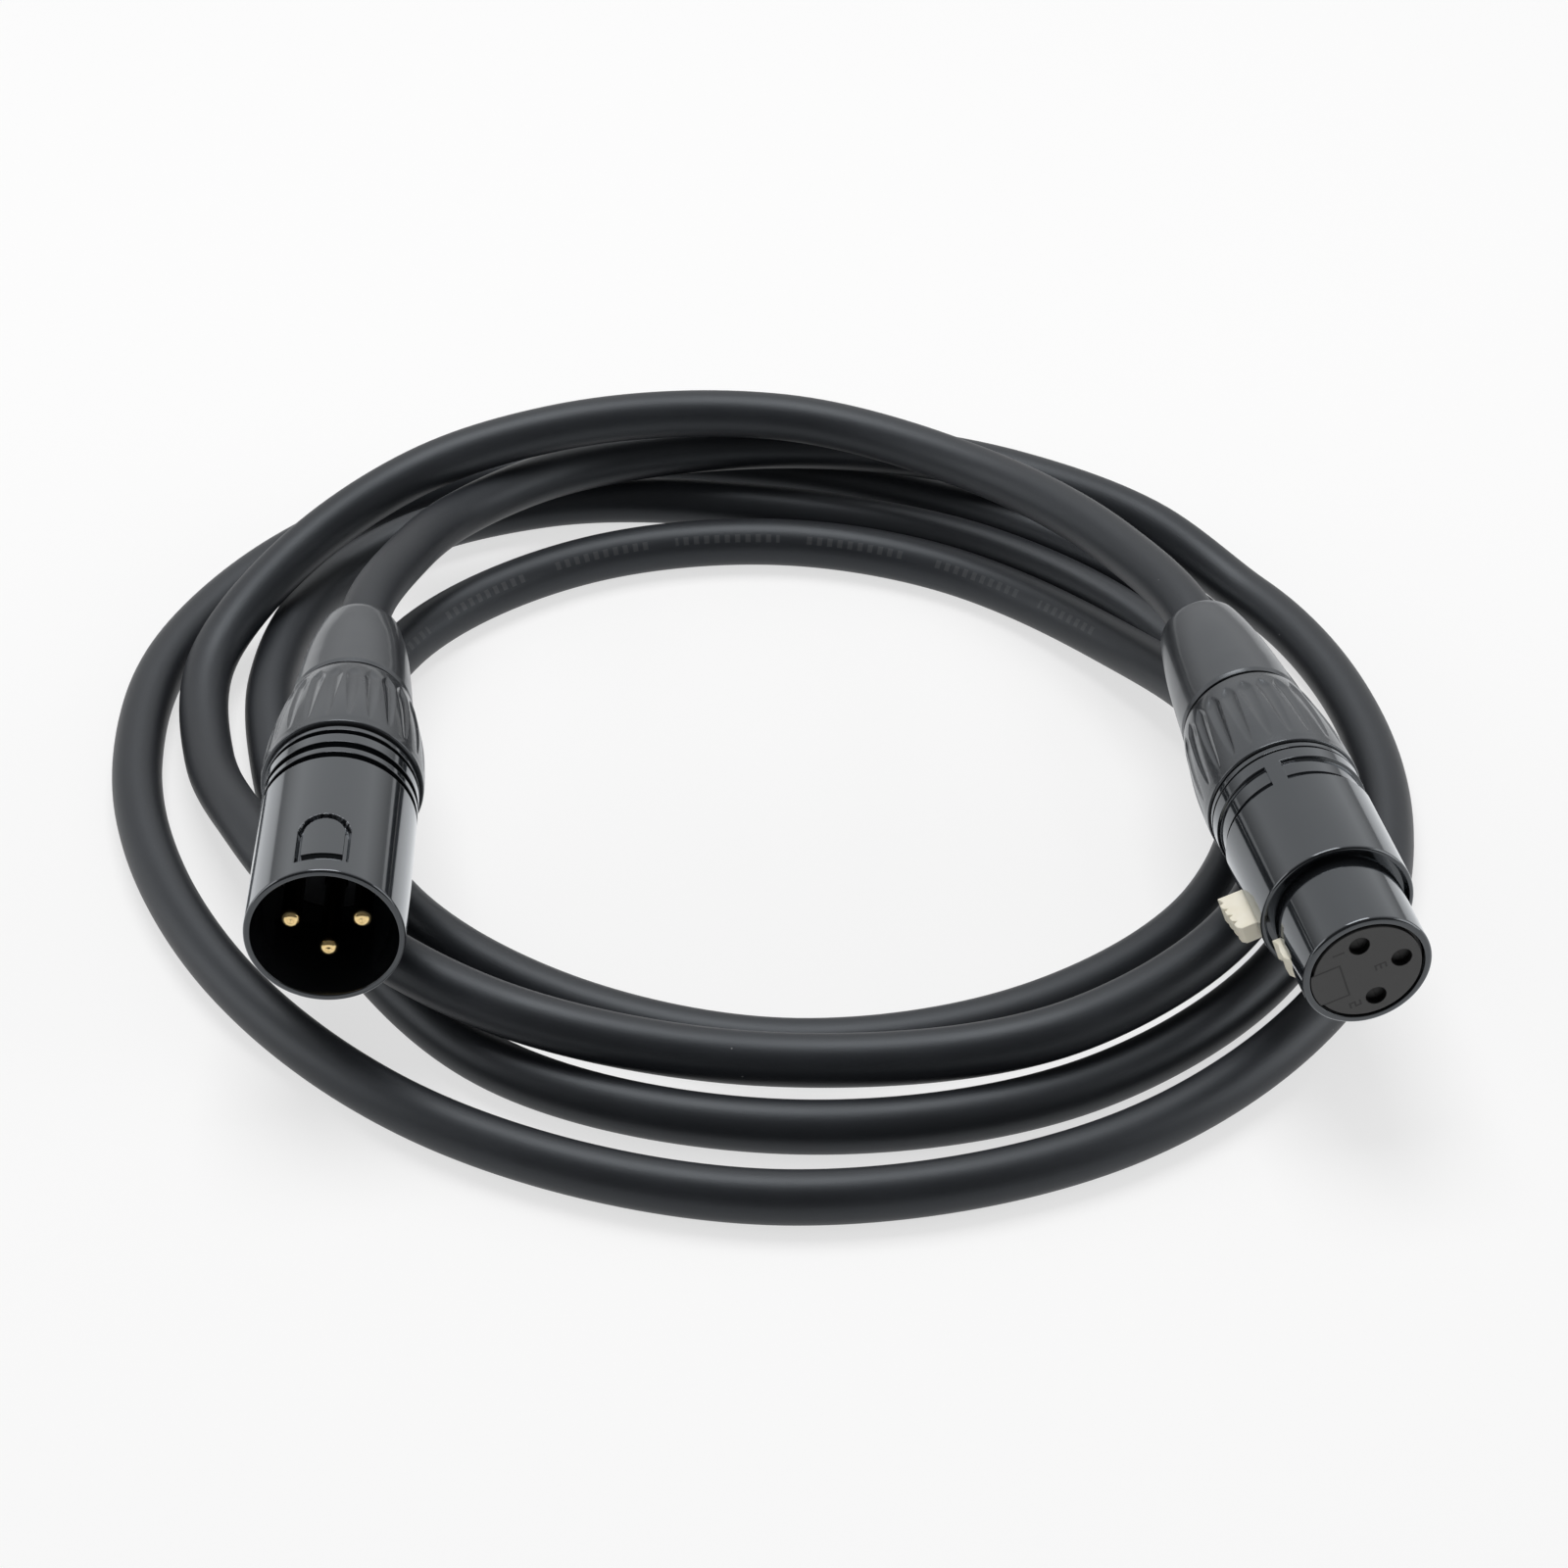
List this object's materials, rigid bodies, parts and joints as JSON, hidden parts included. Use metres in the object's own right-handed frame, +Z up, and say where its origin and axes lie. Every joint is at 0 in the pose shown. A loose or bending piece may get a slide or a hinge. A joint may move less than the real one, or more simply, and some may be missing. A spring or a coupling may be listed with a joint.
{
  "type": "xlr cable coil",
  "caption": "Coiled microphone cable with a male and a female round locking audio connector lying on the coil, strain reliefs towards the back.",
  "frame": {"origin": "middle of the cable coil's outline, on the surface that the coil lies on", "axes": "+X to the right across both connectors, -Y towards the connectors' open ends, +Z up"},
  "size_m": [0.1684, 0.1592, 0.0335],
  "materials": {
    "cable_sheath": "satin dark grey-black flexible jacket",
    "shell_black": "semi-gloss black coating on a die-cast shell",
    "collar_black": "semi-gloss moulded black",
    "boot_black": "semi-gloss moulded black strain relief",
    "insert_black": "satin moulded grey-black insert",
    "contact_gold": "gold-plated brass",
    "latch_ivory": "ivory moulded push tab",
    "steel_parts": "plain bright steel",
    "chuck_grey": "grey moulded chuck",
    "core_red": "red conductor insulation",
    "core_white": "white conductor insulation",
    "wire_copper": "bare copper screen wire"
  },
  "bodies": {
    "coil": {"cable_jacket": "cable_sheath", "male_shell": "shell_black", "male_insert": "insert_black", "male_pin_1": "contact_gold", "male_pin_2": "contact_gold", "male_pin_3": "contact_gold", "male_ground_tag": "steel_parts", "male_chuck": "chuck_grey", "male_hot_core": "core_red", "male_cold_core": "core_white", "male_screen_wire": "wire_copper", "female_shell": "shell_black", "female_insert": "insert_black", "female_socket_1": "contact_gold", "female_socket_2": "contact_gold", "female_socket_3": "contact_gold", "female_ground_tag": "steel_parts", "female_insert_screw": "steel_parts", "female_latch_pin": "steel_parts", "female_chuck": "chuck_grey", "female_hot_core": "core_red", "female_cold_core": "core_white", "female_screen_wire": "wire_copper"},
    "male_boot": {"male_boot": "boot_black"},
    "male_collar": {"male_collar": "collar_black"},
    "female_boot": {"female_boot": "boot_black"},
    "female_collar": {"female_collar": "collar_black"},
    "female_latch": {"female_latch": "latch_ivory", "female_latch_spring": "steel_parts"}
  },
  "joints": [
    {"name": "male_boot_slide", "type": "slide", "parent": "coil", "child": "male_boot", "axis": [-0.0174, 0.9985, -0.0523], "range_m": [0, 0.004]},
    {"name": "male_collar_turn", "type": "hinge", "parent": "male_boot", "child": "male_collar", "pos_m": [-0.05067, -0.01589, 0.02199], "axis": [-0.0174, 0.9985, -0.0523], "range_deg": [0, 1440]},
    {"name": "female_boot_slide", "type": "slide", "parent": "coil", "child": "female_boot", "axis": [-0.2079, 0.9781, 0], "range_m": [0, 0.004]},
    {"name": "female_collar_turn", "type": "hinge", "parent": "female_boot", "child": "female_collar", "pos_m": [0.06258, -0.01971, 0.023], "axis": [-0.2079, 0.9781, 0], "range_deg": [0, 1440]},
    {"name": "female_latch_press", "type": "hinge", "parent": "coil", "child": "female_latch", "pos_m": [0.06153, -0.03936, 0.02124], "axis": [-0.3185, -0.0677, 0.9455], "range_deg": [0, 4], "stiffness_Nm_per_rad": 0.3, "springref_deg": -2.86}
  ],
  "couplings": [
    {"joint": "male_collar_turn", "follows": "male_boot_slide", "rad_per_m": 6283.2},
    {"joint": "female_collar_turn", "follows": "female_boot_slide", "rad_per_m": 6283.2}
  ]
}
